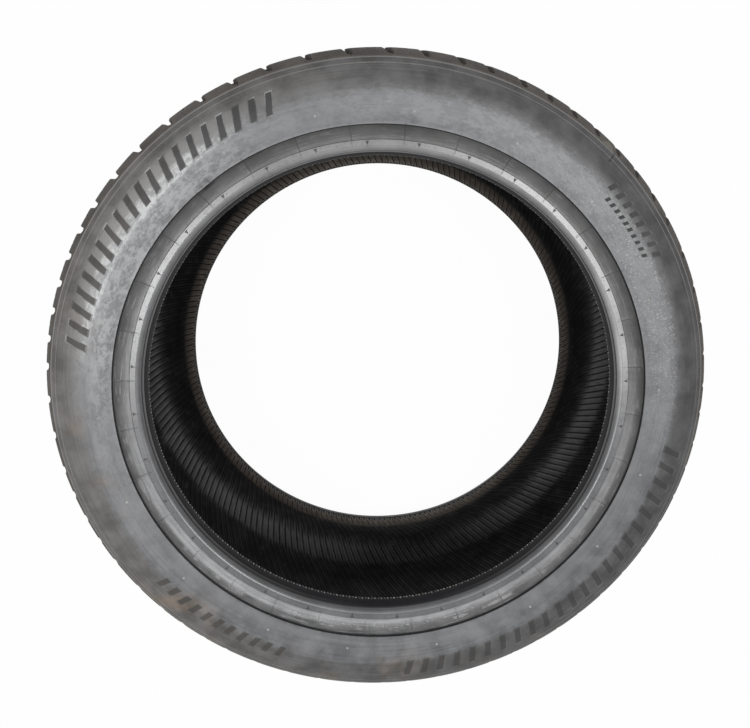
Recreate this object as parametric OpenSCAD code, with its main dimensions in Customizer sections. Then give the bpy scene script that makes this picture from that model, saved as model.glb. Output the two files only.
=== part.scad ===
// Low-profile radial car tyre for a 20 inch rim, lying on its sidewall, with its axis along Z.
// The origin is at the tyre's centre. Heights are measured outwards from the bead bore.

/* [Section] */
// Diameter of the two beads at their toes, where they grip the rim
bead_bore_d = 504; // [480:1:530]
// Height of the section, from the bead bore to the top of the tread
section_h = 112; // [107:0.5:120]
// Width over the two sidewalls, at their widest
section_w = 276; // [270:1:290]
// Height at which the section is widest
widest_h = 54; // [50:0.5:58]
// Thickness of the casing and tread at the middle of the crown
crown_t = 17; // [14:0.5:20]
// Thickness of the casing at the end of the shoulder curve
shoulder_t = 13; // [10:0.5:16]
// Thickness of the sidewall where it is widest
sidewall_t = 8.5; // [6:0.5:11]
// Thickness of the casing behind the rim protector
protector_t = 13; // [10:0.5:16]

/* [Tread] */
// Width of the nearly flat crown, between the shoulder curves
crown_w = 214; // [196:1:222]
// Radius of the crown across the tread
crown_arc_r = 570; // [400:10:1200]
// Radius of the shoulder curve
shoulder_r = 33; // [26:0.5:38]
// Depth of the grooves that run round the tread
groove_d = 8; // [5:0.25:9]
// Width at the top of the two grooves beside the middle rib
inner_groove_w = 12; // [6:0.5:16]
// Width at the top of the groove inside each shoulder rib
outer_groove_w = 9.5; // [6:0.5:14]
// Width of the rib in the middle of the tread
middle_rib_w = 28; // [20:1:36]
// Width of the rib on each side of it
side_rib_w = 31; // [22:1:36]
// Lean of a groove's walls
groove_draft = 8; // [2:1:14]

/* [Cross grooves] */
// Order of the short, medium and long pitches round the tread, which keeps it quiet
pitch_order = "MMSMSSSSSSSLLLMMSMSMMMMMMSSSSSMMSMLLLMSSSMLSSSSLLMSSSSSSMMLLMMLLL"; // S, M or L each
// Length of a medium pitch, as a share of a short one
medium_pitch = 1.2; // [1.05:0.01:1.25]
// Length of a long pitch, as a share of a short one
long_pitch = 1.34; // [1.26:0.01:1.5]
// Angle of the first cross groove, clockwise from the top
first_groove_a = 5.5; // [0:0.1:360]
// Width of a cross groove's floor at the shoulder
cross_w = 5.5; // [2:0.25:8]
// Lean of its wall on the side that the blocks end on, going clockwise
cross_end_lean = 26; // [0:1:35]
// Lean of its wall on the side that the next block starts on
cross_start_lean = 4; // [0:1:35]
// Depth of a cross groove at its inner end
cross_d = 6.5; // [3:0.25:8]
// How far below the edge of the crown a shoulder groove runs out into the sidewall
cross_end_drop = 9; // [6:0.5:12]
// Width of the slots across the inner ribs
slot_w = 3; // [1.5:0.25:5]
// Depth of those slots
slot_d = 5.5; // [3:0.25:7]
// Slant of those slots from straight across
slot_slant = 32; // [0:1:45]

/* [Sidewall] */
// Width over the two rim protectors
protector_w = 262; // [256:0.5:266]
// Height of the edge of the rim protector
protector_h = 29; // [26:0.5:34]
// Slope of the sidewall where it meets the rim protector
protector_slope = 31.4; // [20:0.2:45]
// Width of the blunt edge of the rim protector
protector_edge = 1.2; // [0.6:0.1:2]
// How far the two thin mould lines at the top of the sidewall stand out
mould_line_out = 0.5; // [0.2:0.1:1]
// Width of a mould line
mould_line_w = 1.2; // [0.8:0.1:2]
// Distance between the two mould lines
mould_line_gap = 4.8; // [3:0.1:8]

/* [Beads] */
// Width over the two beads, where the rim flanges clamp them
bead_w = 237; // [228:0.5:242]
// Width of one bead, from its flange face to its toe
bead_base = 20; // [17:0.5:23]
// Width of the cylindrical land at the toe
toe_land = 4; // [3:0.5:6]
// Radius of the heel, between the seat and the flange face
heel_r = 4.4; // [3:0.2:8]
// Height of the heel's straight side, between its curve and the fine groove
heel_side = 4; // [2:0.25:6]
// How far the seat opens from the toe to the heel
heel_rise = 4; // [2:0.2:5.5]
// Height of the flat flange face, above the heel curve
flange_flat = 6; // [3:0.25:8]
// Depth of the fine groove between the heel and the seat
heel_line_d = 0.8; // [0.4:0.1:1.2]
// Radius of the blunt toe
toe_r = 2; // [1:0.25:3]

/* [Hidden] */

// Radii, from the axis
bore_r = bead_bore_d / 2;
crown_r = bore_r + section_h;
widest_r = bore_r + widest_h;
protector_r = bore_r + protector_h;

// Half widths, from the middle plane
half_w = section_w / 2;
crown_z = crown_w / 2;
protector_z = protector_w / 2;
face_z = bead_w / 2;
toe_z = face_z - bead_base;

// The crown arc ends at crown_edge, where the shoulder curve leaves it without a kink
crown_c = [crown_r - crown_arc_r, 0];
crown_a = asin(crown_z / crown_arc_r);
crown_edge = crown_c + crown_arc_r * [cos(crown_a), sin(crown_a)];

// The shoulder curve is never larger than the space between the crown and the widest point
fillet_share = 0.9;
shoulder_fit_r = min(shoulder_r, fillet_share * (half_w - crown_z) / (1 - sin(crown_a)),
    fillet_share * (crown_edge[0] - widest_r) / cos(crown_a));

// On a section too wide for that curve a straight flank comes before it, so that the sidewall
// arc rises at most by this share of its reach. The flank is 0 long at the sizes above.
side_slope = 0.4;
flank_top = crown_edge - shoulder_fit_r * [cos(crown_a), sin(crown_a)];
flank_l = max(0, half_w - flank_top[1] - shoulder_fit_r - side_slope * (flank_top[0] - widest_r))
    / cos(crown_a);
shoulder_c = flank_top + flank_l * [-sin(crown_a), cos(crown_a)];

// The sidewall arc touches the shoulder curve and is level at the widest point
side_in = widest_r - shoulder_c[0];
side_up = half_w - shoulder_c[1];
side_arc_r = (side_in ^ 2 + side_up ^ 2 - shoulder_fit_r ^ 2) / (2 * (side_up - shoulder_fit_r));
side_c = [widest_r, half_w - side_arc_r];
side_a = atan2(shoulder_c[1] - side_c[1], shoulder_c[0] - side_c[0]);

// The lower sidewall curve runs from the widest point, where it is level, to the rim protector,
// where it has protector_slope. Its pull at both ends is this share of its length.
lower_pull = 0.34;
widest = [widest_r, half_w];
protector = [protector_r, protector_z];
protector_dir = [cos(protector_slope), sin(protector_slope)];

// The heel curve, the flat flange face and the hollow that fits round the rim flange
heel_c = [bore_r + heel_rise + heel_r, face_z - heel_r];
flat_end = [heel_c[0] + flange_flat, face_z];
hollow_in = protector_r - protector_edge - flat_end[0];
hollow_up = protector_z - face_z;

// A mould line covers two turns of line_a on the sidewall arc, and line_top of it is flat
line_a = asin(mould_line_w / 2 / side_arc_r);
line_top = 0.4;

// Where the two mould lines start: at the end of the shoulder curve, and below it
line_1_a = side_a;
line_2_a = side_a + asin(mould_line_gap / side_arc_r);

// The heel curve stops a little short of the heel's straight side
heel_end_a = 174;

// The angle at which an arc of the section is level, and that of the top of the tyre
level_a = 90;
top_a = 90;

function on_arc(c, r, a) = c + r * [cos(a), sin(a)];

// Points on an arc, from angle a0 to a1 in n steps; first = 1 leaves out the point at a0
function arc(c, r, a0, a1, n, first = 0) = [for (i = [first:n]) on_arc(c, r, a0 + (a1 - a0) * i / n)];

// Points on an arc's inner side after its start, for a wall that goes smoothly from t0 to t1 thick
function arc_inside(c, r, a0, a1, n, t0, t1) =
    [for (i = [1:n]) on_arc(c, r - t0 - (t1 - t0) * (1 - cos(180 * i / n)) / 2, a0 + (a1 - a0) * i / n)];

// Points of a thin raised line that starts at angle a of the sidewall arc, after its first
function mould_line(a) = [
    on_arc(side_c, side_arc_r + mould_line_out, a + (1 - line_top) * line_a),
    on_arc(side_c, side_arc_r + mould_line_out, a + (1 + line_top) * line_a),
    on_arc(side_c, side_arc_r, a + 2 * line_a)];

// Points on a smooth curve from p0 to p3 that leaves towards p1 and arrives from p2
function blend(p0, p1, p2, p3, n) =
    [for (i = [1:n]) let (t = i / n, u = 1 - t)
        u ^ 3 * p0 + 3 * u ^ 2 * t * p1 + 3 * u * t ^ 2 * p2 + t ^ 3 * p3];

// The lower sidewall curve, from the protector's side p up to the level point w
function lower_curve(p, w, n) = let (pull = lower_pull * norm(w - p))
    blend(p, p + pull * protector_dir, w - [pull, 0], w, n);

// The hollow from the protector's edge down to the flange face, as a quarter of an ellipse
function hollow(n) =
    [for (i = [0:n]) let (a = level_a * (1 - i / n)) flat_end + [hollow_in * sin(a), hollow_up * (1 - cos(a))]];

// The foot of the heel's straight side, where the fine groove starts
heel_foot = [bore_r + heel_rise, heel_c[1] - heel_side];

lower_n = 6;
lower_outside = lower_curve(protector, widest, lower_n);

// The outside of one half of the section, from the middle of the crown to the bead's toe
outside = concat(
    arc(crown_c, crown_arc_r, 0, crown_a, 7),
    arc(shoulder_c, shoulder_fit_r, crown_a, line_1_a, 8, first = flank_l > 0 ? 0 : 1),
    mould_line(line_1_a),
    [on_arc(side_c, side_arc_r, line_2_a)],
    mould_line(line_2_a),
    arc(side_c, side_arc_r, line_2_a + 2 * line_a, level_a, 5, first = 1),
    [for (i = [lower_n - 2:-1:0]) lower_outside[i]], [protector],
    hollow(8),
    arc(heel_c, heel_r, level_a, heel_end_a, 7),
    [for (d = [[0, 0], [heel_line_d, heel_line_d], [0, 2 * heel_line_d]]) heel_foot + [d[0], -d[1]]],
    [[bore_r, toe_z + toe_land], [bore_r, toe_z]]);

// The inside of that half, from the toe back to the middle of the crown. A smooth curve goes from
// the toe to the wall behind the protector, and its pulls are shares of the way between the two.
toe_c = [bore_r + toe_r, toe_z];
inner_toe = toe_c - [0, toe_r];
inner_low = protector + protector_t * [protector_dir[1], -protector_dir[0]];
bead_way = inner_low - inner_toe;
toe_pull = [0.45, 0.13];
wall_pull = [0.3, 0.27];
inside = concat(
    arc(toe_c, toe_r, 180, 270, 3, first = 1),
    blend(inner_toe, inner_toe + [bead_way[0] * toe_pull[0], bead_way[1] * toe_pull[1]],
        inner_low - [bead_way[0] * wall_pull[0], bead_way[1] * wall_pull[1]], inner_low, 8),
    lower_curve(inner_low, widest - [0, sidewall_t], 5),
    arc_inside(side_c, side_arc_r, level_a, side_a, 5, sidewall_t, shoulder_t),
    arc_inside(shoulder_c, shoulder_fit_r, side_a, crown_a, 6, shoulder_t, crown_t),
    arc_inside(crown_c, crown_arc_r, crown_a, 0, 5, crown_t, crown_t));

half_loop = concat(outside, inside);
last = len(half_loop) - 1;
section = concat(half_loop, [for (i = [last - 1:-1:1]) [half_loop[i][0], -half_loop[i][1]]]);

// Where each groove round the tread has its middle
inner_groove_z = (middle_rib_w + inner_groove_w) / 2;
outer_groove_z = inner_groove_z + (inner_groove_w + outer_groove_w) / 2 + side_rib_w;

function crown_r_at(z) = crown_c[0] + sqrt(crown_arc_r ^ 2 - z ^ 2);

// Pitch angles round the tread
pitch_share = [for (p = pitch_order) p == "S" ? 1 : p == "M" ? medium_pitch : long_pitch];
function sum_to(list, n) = n == 0 ? 0 : list[n - 1] + sum_to(list, n - 1);
pitch_total = sum_to(pitch_share, len(pitch_share));
groove_angles = [for (i = [0:len(pitch_share) - 1])
    top_a - first_groove_a - 360 * sum_to(pitch_share, i) / pitch_total];

// Where a cross groove starts, and where its floor runs out into the shoulder
cross_start = [crown_r_at(outer_groove_z) - cross_d, outer_groove_z];
cross_end_r = crown_edge[0] - cross_end_drop;
cross_end = [cross_end_r, shoulder_c[1] + sqrt(shoulder_fit_r ^ 2 - (cross_end_r - shoulder_c[0]) ^ 2)];
cross_run = cross_end - cross_start;

// Every cutter stands this far above the floor that it cuts
above = 20;

module groove(z, w)
    translate([crown_r_at(z) - groove_d, z])
        polygon([
            [0, -w / 2 + groove_d * tan(groove_draft)], [0, w / 2 - groove_d * tan(groove_draft)],
            [above, w / 2 + (above - groove_d) * tan(groove_draft)],
            [above, -w / 2 - (above - groove_d) * tan(groove_draft)]]);

module tyre_section()
    difference() {
        polygon(section);
        for (s = [-1, 1]) {
            groove(s * inner_groove_z, inner_groove_w);
            groove(s * outer_groove_z, outer_groove_w);
        }
    }

// One groove across the shoulder rib on the +Z side, from the tread out to the sidewall
module shoulder_groove()
    translate([cross_start[0], 0, cross_start[1]])
        rotate([0, atan2(cross_run[0], cross_run[1]), 0])
            linear_extrude(norm(cross_run) + above)
                polygon([
                    [0, cross_w / 2], [0, -cross_w / 2],
                    [above, -cross_w / 2 - above * tan(cross_start_lean)],
                    [above, cross_w / 2 + above * tan(cross_end_lean)]]);

// One slanted slot across a rib whose edges are at z0 and z1
module rib_slot(z0, z1) {
    zm = (z0 + z1) / 2;
    long = (z1 - z0) / cos(slot_slant) + slot_w;
    translate([crown_r_at(zm) - slot_d, 0, zm]) rotate([slot_slant, 0, 0])
        translate([0, -slot_w / 2, -long / 2]) cube([above, slot_w, long]);
}

module cross_grooves() {
    rib_in = inner_groove_z + inner_groove_w / 2;
    for (a = groove_angles) rotate([0, 0, a]) {
        shoulder_groove();
        rib_slot(rib_in, rib_in + side_rib_w);
        mirror([0, 0, 1]) {
            shoulder_groove();
            rib_slot(rib_in, rib_in + side_rib_w);
        }
    }
}

module tyre()
    color("#3f4042")
        difference() {
            rotate_extrude($fn = 180) tyre_section();
            cross_grooves();
        }

tyre();
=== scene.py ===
import math
import random

import bpy
import bmesh
import numpy as np
from mathutils import Matrix, Vector


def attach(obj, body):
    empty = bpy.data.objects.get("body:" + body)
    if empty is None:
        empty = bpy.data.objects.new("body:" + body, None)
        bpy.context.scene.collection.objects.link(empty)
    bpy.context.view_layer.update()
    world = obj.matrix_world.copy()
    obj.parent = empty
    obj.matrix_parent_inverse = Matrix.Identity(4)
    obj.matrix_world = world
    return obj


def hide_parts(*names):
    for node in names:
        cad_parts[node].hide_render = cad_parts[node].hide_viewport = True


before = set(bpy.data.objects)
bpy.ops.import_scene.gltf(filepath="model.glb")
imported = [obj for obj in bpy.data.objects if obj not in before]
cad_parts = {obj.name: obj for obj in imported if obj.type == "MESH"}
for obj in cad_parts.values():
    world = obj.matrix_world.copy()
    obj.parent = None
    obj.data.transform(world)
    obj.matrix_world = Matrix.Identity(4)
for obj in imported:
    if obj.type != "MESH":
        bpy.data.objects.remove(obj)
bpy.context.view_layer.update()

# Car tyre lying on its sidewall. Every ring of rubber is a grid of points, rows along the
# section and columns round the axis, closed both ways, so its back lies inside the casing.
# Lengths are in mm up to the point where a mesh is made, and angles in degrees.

MM = 0.001
FLOOR_Z = -0.138

# The section
BORE_R, CROWN_R, HALF_W = 252.0, 364.0, 138.0
CROWN_ARC_R, CROWN_Z = 570.0, 107.0
SHOULDER_R, SHOULDER_T, CROWN_T, SIDEWALL_T, PROTECTOR_T = 33.0, 13.0, 17.0, 8.5, 13.0
WIDEST_R = 306.0
PROTECTOR_R, PROTECTOR_Z, PROTECTOR_EDGE, PROTECTOR_SLOPE = 281.0, 131.0, 1.2, 31.4
FACE_Z, TOE_Z, TOE_LAND, TOE_R = 118.5, 98.5, 4.0, 2.0
HEEL_R, HEEL_SIDE, HEEL_RISE, FLANGE_FLAT, HEEL_LINE = 4.4, 4.0, 4.0, 6.0, 0.8
# The two thin raised lines: height, width, and where each starts on its arc of the section
LINE_OUT, LINE_W, FIRST_LINE_A, SECOND_LINE_A = 0.5, 2.0, 50.7, 60.9

# The grooves round the tread, as distances from the middle plane
GROOVE_D, GROOVE_DRAFT = 8.0, math.tan(math.radians(8))
MIDDLE_RIB, INNER_GROOVE, SIDE_RIB, OUTER_GROOVE = 14.0, 12.0, 31.0, 9.5

# The cuts across the ribs: width of the floor, depth, and the lean of the two walls
SHOULDER_CUT_W, SHOULDER_CUT_D, SHOULDER_CUT_DROP = 5.5, 6.5, 9.0
CUT_LEANS = (math.tan(math.radians(26)), math.tan(math.radians(4)))
# The bend of the shoulder cuts: its slope, where it starts and how far in it goes
CUT_BEND, CUT_BEND_Z, CUT_BEND_LONG = math.tan(math.radians(15)), 124.0, 36.0
SLOT_W, SLOT_D, SLOT_SLANT = 3.0, 5.5, math.tan(math.radians(32))
SLOT_LEANS = (0.03, 0.03)
# How far down the wall of a cut its edge is drawn, and how far out its two top corners are
EDGE_DROP, CORNER_OUT = 0.45, 0.05

PITCH_ORDER = "MMSMSSSSSSSLLLMMSMSMMMMMMSSSSSMMSMLLLMSSSMLSSSSLLMSSSSSSMMLLMMLLL"
PITCH_SHARE = {"S": 1.0, "M": 1.2, "L": 1.34}
FIRST_CUT = 5.5
SIPE_W, SIPE_D, EDGE_ROUND = 0.8, 3.0, 0.5
SIPE_FADE_Z = (106.0, 118.0)    # where a sipe starts to get shallow, and where it ends
SLIT_W, SLIT_D = 1.2, 0.6       # the fine slit that goes on from every third shoulder cut
LAST_TOP_SLIT = 40              # the cut after which the count of slits starts anew

# The fine lines on the flange: how many, where the first one is and how far after it its tick
# is (clockwise, in degrees); their depths on the flange and the bead, their lit edge, the tick
FLANGE_LINES, FIRST_FLANGE_LINE, TICK_AFTER_LINE = 32, 8.63, 3.3
LINE_D, BEAD_LINE_D, LINE_EDGE_UP, TICK_D = 0.7, 0.5, 0.15, 0.22

# Rows of plain slanted bars: first and last angle, how many, inner and outer radius, slant
BAR_ROWS = ((286, 344, 20, 303.5, 326.5, 7), (105, 179, 23, 307.5, 329.5, 7),
            (206, 234, 11, 306, 320, 4), (50, 65, 8, 313, 323, 3), (51, 64, 10, 303, 308, 1.5))
BAR_UP, BAR_FILL, BAR_FACE_UP, BAR_RIB_UP = 0.4, 0.46, 0.16, 0.12
PLATE_DEEP = 1.0                # how far the small plates reach into the rubber

VENTS, FIRST_VENT, VENT_RING_R, VENT_R, VENT_UP = 18, 11, 293, 1.3, 0.3
ARROW_R, ARROW_LONG, ARROW_HALF_W, ARROW_UP, ARROW_DEEP = 264.3, 2.9, 1.9, 0.22, 0.8

# Damage of the protector's edge: middle, half length, depth
TEARS = ((326.0, 2.6, 2.6), (309.5, 1.0, 1.6))


def turn(centre, radius, start, end, steps):
    """Points on an arc of the section, from angle start to angle end."""
    a = np.radians(np.linspace(start, end, steps + 1))
    return np.stack([centre[0] + radius * np.cos(a), centre[1] + radius * np.sin(a)], 1)


def turn_inside(centre, radius, start, end, steps, t0, t1):
    """The inner side of that arc, where the wall goes smoothly from t0 to t1 thick."""
    share = np.linspace(0, 1, steps + 1)
    a = np.radians(start + (end - start) * share)
    r = radius - t0 - (t1 - t0) * (1 - np.cos(np.pi * share)) / 2
    return np.stack([centre[0] + r * np.cos(a), centre[1] + r * np.sin(a)], 1)


def blend(p0, p1, p2, p3, steps):
    """Points on a smooth curve from p0 to p3 that leaves towards p1 and arrives from p2."""
    t = np.linspace(0, 1, steps + 1)[:, None]
    return (1 - t) ** 3 * p0 + 3 * (1 - t) ** 2 * t * p1 + 3 * (1 - t) * t ** 2 * p2 + t ** 3 * p3


def smooth_step(value, low, high):
    """0 below low, 1 above high, and a smooth change between them."""
    t = np.clip((np.asarray(value, float) - low) / (high - low), 0, 1)
    return t * t * (3 - 2 * t)


# Centres, ends and angles of the curves that make the section
crown_c = np.array([CROWN_R - CROWN_ARC_R, 0.0])
crown_a = math.degrees(math.asin(CROWN_Z / CROWN_ARC_R))
crown_edge = turn(crown_c, CROWN_ARC_R, crown_a, crown_a, 1)[0]
shoulder_c = turn(crown_edge, -SHOULDER_R, crown_a, crown_a, 1)[0]
side_in, side_up = WIDEST_R - shoulder_c[0], HALF_W - shoulder_c[1]
side_arc_r = (side_in ** 2 + side_up ** 2 - SHOULDER_R ** 2) / (2 * (side_up - SHOULDER_R))
side_c = np.array([WIDEST_R, HALF_W - side_arc_r])
side_a = math.degrees(math.atan2(shoulder_c[1] - side_c[1], shoulder_c[0] - side_c[0]))
widest = np.array([WIDEST_R, HALF_W])
protector = np.array([PROTECTOR_R, PROTECTOR_Z])
protector_way = turn((0, 0), 1, PROTECTOR_SLOPE, PROTECTOR_SLOPE, 1)[0]
heel_c = np.array([BORE_R + HEEL_RISE + HEEL_R, FACE_Z - HEEL_R])
flat_end = heel_c + [FLANGE_FLAT, HEEL_R]
heel_foot = np.array([BORE_R + HEEL_RISE, heel_c[1] - HEEL_SIDE])


def crown_radius(z):
    """Radius of the crown at distance z from the middle plane."""
    return crown_c[0] + np.sqrt(CROWN_ARC_R ** 2 - np.asarray(z, float) ** 2)


def lower_side(low, high, steps):
    """The lower sidewall curve, from the protector's side up to the widest point."""
    pull = 0.34 * np.linalg.norm(high - low)
    return blend(low, low + pull * protector_way, high - [pull, 0], high, steps)


def hollow(steps):
    """The hollow from the protector's edge down to the flange face."""
    a = np.radians(np.linspace(90, 0, steps + 1))
    size = protector - [PROTECTOR_EDGE, 0] - flat_end
    return flat_end + np.stack([size[0] * np.sin(a), size[1] * (1 - np.cos(a))], 1)


# ---- making ring pieces

def at_angle(section, angles):
    """Section points, one for each angle clockwise from the top, as places in space."""
    a = np.radians(90 - angles)
    return np.stack([section[..., 0] * np.cos(a), section[..., 0] * np.sin(a),
                     section[..., 1] + 0 * a], -1)


def clockwise(section, angles):
    """Turn section points (rows) by angles (columns, or rows x columns)."""
    section = np.asarray(section, float)
    angles = np.broadcast_to(angles, (len(section), np.shape(angles)[-1]))
    return at_angle(section[:, None, :], angles)


def ring_piece(name, points, materials, row_material=None, sharp=32):
    """A mesh from rows x columns of points, closed round the axis and along the section."""
    rows, cols = points.shape[:2]
    index = np.arange(rows * cols).reshape(rows, cols)
    right = np.roll(index, -1, 1)
    below, below_right = np.roll(index, -1, 0), np.roll(right, -1, 0)
    faces = np.stack([index, right, below_right, below], -1).reshape(-1, 4)
    slots = None if row_material is None else np.repeat(np.asarray(row_material, np.int32), cols)
    return mesh_piece(name, points.reshape(-1, 3), faces.tolist(), materials, slots, sharp)


def mesh_piece(name, points, faces, materials, slots=None, sharp=32):
    """Make the piece, point its faces outwards, shade the curves smooth, keep edges crisp."""
    mesh = bpy.data.meshes.new(name)
    mesh.from_pydata((points * MM).tolist(), [], faces)
    for material in materials:
        mesh.materials.append(material)
    if slots is not None:
        mesh.polygons.foreach_set("material_index", slots)
    shell = bmesh.new()
    shell.from_mesh(mesh)
    bmesh.ops.recalc_face_normals(shell, faces=shell.faces)
    shell.to_mesh(mesh)
    shell.free()
    mesh.shade_smooth()
    mesh.set_sharp_from_angle(angle=math.radians(sharp))
    piece = bpy.data.objects.new(name, mesh)
    bpy.context.scene.collection.objects.link(piece)
    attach(piece, "root")
    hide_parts("tyre")
    return piece


# ---- tread

def cut_angles():
    """Angles of the cross grooves, clockwise from the top, and the angle of each pitch."""
    share = np.array([PITCH_SHARE[p] for p in PITCH_ORDER])
    pitch = 360 * share / share.sum()
    return FIRST_CUT + np.concatenate([[0], np.cumsum(pitch)[:-1]]), pitch


TOP, EDGE, CUT_FLOOR, SIPE_FLOOR, CUT_MIDDLE = range(5)


def pitch_columns(cut_w, pitch_mm, depth, leans):
    """Offsets from the middle of the cut over one pitch, and what each column is."""
    low, high = -cut_w / 2, cut_w / 2
    start, end = low - depth * leans[0] - CORNER_OUT, high + depth * leans[1] + CORNER_OUT
    block_start = end + EDGE_ROUND
    block = pitch_mm - (end - start) - 2 * EDGE_ROUND
    middle, sipe = block_start + block * 0.5, SIPE_W / 2
    columns = [(start - EDGE_ROUND, TOP), (start, EDGE), (low, CUT_FLOOR), (0, CUT_MIDDLE),
               (high, CUT_FLOOR), (end, EDGE), (block_start, TOP)]
    columns += [(block_start + block * s, TOP) for s in (0.17, 0.34)]
    columns += [(middle - sipe, TOP), (middle - sipe + CORNER_OUT, SIPE_FLOOR),
                (middle + sipe - CORNER_OUT, SIPE_FLOOR), (middle + sipe, TOP)]
    columns += [(block_start + block * s, TOP) for s in (0.66, 0.83)]
    offsets, kinds = zip(*columns)
    return np.array(offsets), np.array(kinds)


def tread_rows():
    """Rows of the crown on the +Z side: distance from the middle plane, depth below the crown,
    and the rib they belong to (0 middle, 1 side, 2 shoulder)."""
    lean = GROOVE_D * GROOVE_DRAFT
    rows = [(0, 0, 0), (7, 0, 0)]
    edge = MIDDLE_RIB
    for width, rib, far in ((INNER_GROOVE, 0, SIDE_RIB), (OUTER_GROOVE, 1, 0)):
        rows += [(edge - EDGE_ROUND, 0, rib), (edge - 0.1, EDGE_ROUND * 0.6, rib),
                 (edge + lean, GROOVE_D, rib)]
        edge += width
        rows += [(edge - lean, GROOVE_D, rib + 1), (edge + 0.1, EDGE_ROUND * 0.6, rib + 1),
                 (edge + EDGE_ROUND, 0, rib + 1)]
        rows += [(edge + far * s, 0, rib + 1) for s in (0.25, 0.5, 0.75) if far]
        edge += far
    rows += [(z, 0, 2) for z in np.linspace(edge + 4, CROWN_Z, 8)]
    return rows


def shoulder_floor():
    """The two ends of the straight floor of a shoulder cut, as section points."""
    z0 = MIDDLE_RIB + INNER_GROOVE + SIDE_RIB + OUTER_GROOVE / 2
    start = np.array([crown_radius(z0) - SHOULDER_CUT_D, z0])
    end_r = crown_edge[0] - SHOULDER_CUT_DROP
    end = [end_r, shoulder_c[1] + math.sqrt(SHOULDER_R ** 2 - (end_r - shoulder_c[0]) ** 2)]
    return start, np.array(end)


def tread_half():
    """Section points of the +Z half, each with its cut floor, its sipe floor and its rib."""
    start, end = shoulder_floor()
    along = (end - start) / np.linalg.norm(end - start)
    outward = np.array([along[1], -along[0]])
    half = [(np.array([crown_radius(z) - depth, z]), rib) for z, depth, rib in tread_rows()]
    half += [(point, 2) for point in turn(shoulder_c, SHOULDER_R, crown_a, FIRST_LINE_A, 14)[1:]]
    rows = []
    for top, rib in half:
        floor, sipe = top.copy(), top.copy()
        below = crown_radius(min(top[1], CROWN_Z)) - top[0]
        if rib == 1 and below < SLOT_D:
            floor[0] = crown_radius(top[1]) - SLOT_D
        if rib == 2:
            height = float(np.dot(top - start, outward))
            if height > 0 and np.dot(top - end, along) < 0:
                floor = top - height * outward
        if rib in (1, 2) and below < 4 and top[1] < SIPE_FADE_Z[1]:
            deep = SIPE_D * float(1 - smooth_step(top[1], *SIPE_FADE_Z))
            sipe -= deep * outward if rib == 2 else [deep, 0]
        rows.append((top, floor, sipe, rib))
    return rows


def cut_shift(rib, z):
    """How far a cut lies clockwise of its own middle line at distance z from the middle plane."""
    if rib == 2:
        return -CUT_BEND * min(max(CUT_BEND_Z - z, 0.0), CUT_BEND_LONG)
    slot_middle = MIDDLE_RIB + INNER_GROOVE + SIDE_RIB / 2
    return SLOT_SLANT * ((z if rib == 1 else MIDDLE_RIB + INNER_GROOVE) - slot_middle)


def has_slit(number):
    """Every third cut has a slit; the count starts anew at the bottom of the photograph."""
    return number % 3 == (2 if number < LAST_TOP_SLIT else 1)


def tread_piece(material):
    """The tread: every row holds all the pitches, side by side round the tyre."""
    angles, pitch = cut_angles()
    half = tread_half()
    rows = [(t * [1, -1], f * [1, -1], s * [1, -1], rib) for t, f, s, rib in half[:0:-1]] + half
    points = []
    for top, floor, sipe, rib in rows:
        shift = cut_shift(rib, abs(top[1]))
        cut_w, leans = (SHOULDER_CUT_W, CUT_LEANS) if rib == 2 else (SLOT_W, SLOT_LEANS)
        depth = np.linalg.norm(top - floor)
        edge = top + (floor - top) * min(1.0, EDGE_DROP / max(EDGE_DROP, depth))
        past_cut = rib == 2 and depth < 0.01 and abs(top[1]) > CROWN_Z
        slit = floor
        if past_cut:
            centre = shoulder_c * [1, np.sign(top[1])]
            slit, cut_w = top + SLIT_D * (centre - top) / SHOULDER_R, SLIT_W
        line = []
        for number, (angle, share) in enumerate(zip(angles, pitch)):
            middle = slit if has_slit(number) else floor
            section = np.stack([top, edge, floor, sipe, middle])
            offsets, kinds = pitch_columns(cut_w, math.radians(share) * CROWN_R, depth, leans)
            line.append(at_angle(section[kinds], angle + np.degrees((offsets + shift) / CROWN_R)))
        points.append(np.concatenate(line))
    points = np.array(points)
    deep = 12    # the back of the ring, hidden in the casing under the deepest grooves
    back = np.array([[336, 119], [342.5, 106], [crown_radius(60) - deep, 60],
                     [crown_radius(0) - deep, 0]])
    back = np.concatenate([back, back[-2::-1] * [1, -1]])
    columns = np.degrees(np.arctan2(points[0, :, 0], points[0, :, 1]))
    return ring_piece("tread", np.concatenate([points, clockwise(back, columns)]), [material])


# ---- sidewalls

def mould_line(centre, radius, start):
    """Rows over one thin raised line on an arc of the section, and the angle where it ends."""
    wide = math.degrees(LINE_W / radius)
    rows = [turn(centre, radius + LINE_OUT * up, start + k * wide, start + k * wide, 1)[0]
            for k, up in ((0, 0), (0.3, 1), (0.7, 1), (1, 0))]
    return rows, start + wide


PARTS = ("sidewall", "flange", "bead", "seat")


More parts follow.
